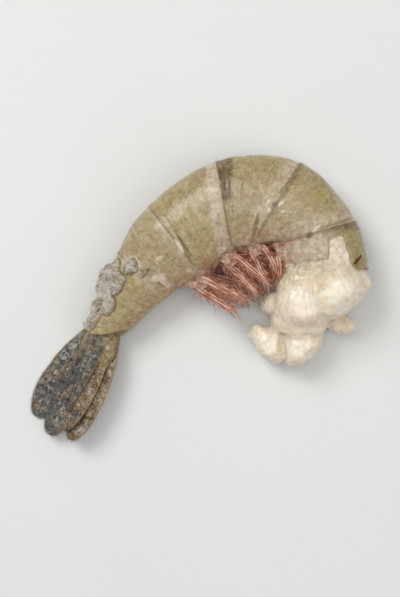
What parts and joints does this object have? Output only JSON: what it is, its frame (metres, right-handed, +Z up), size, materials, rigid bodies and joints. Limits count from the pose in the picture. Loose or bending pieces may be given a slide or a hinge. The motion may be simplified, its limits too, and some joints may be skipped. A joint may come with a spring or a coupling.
{
  "type": "raw tiger prawn",
  "caption": "Curled raw prawn without its head, shell on, lying on one flank, with swimming legs, a folded tail fan and bare muscle at the cut end.",
  "frame": {"origin": "on the surface that the flank rests on, below the middle of the part in plan", "axes": "+Z up from the surface, towards the flank that shows; +Y towards the arch of the back; +X towards the cut head end, with the tail fan at -X and -Y"},
  "size_m": [0.0802, 0.0666, 0.0163],
  "materials": {
    "shell": "wet, translucent olive-beige shell with pale and dark bands at the joints",
    "flesh": "moist, translucent cream muscle",
    "legs": "wet reddish-brown, ribbed and fringed",
    "tail_fan": "dark brown with a net of pale flecks and ochre edges"
  },
  "bodies": {
    "root": {"prawn": "shell"}
  },
  "joints": []
}
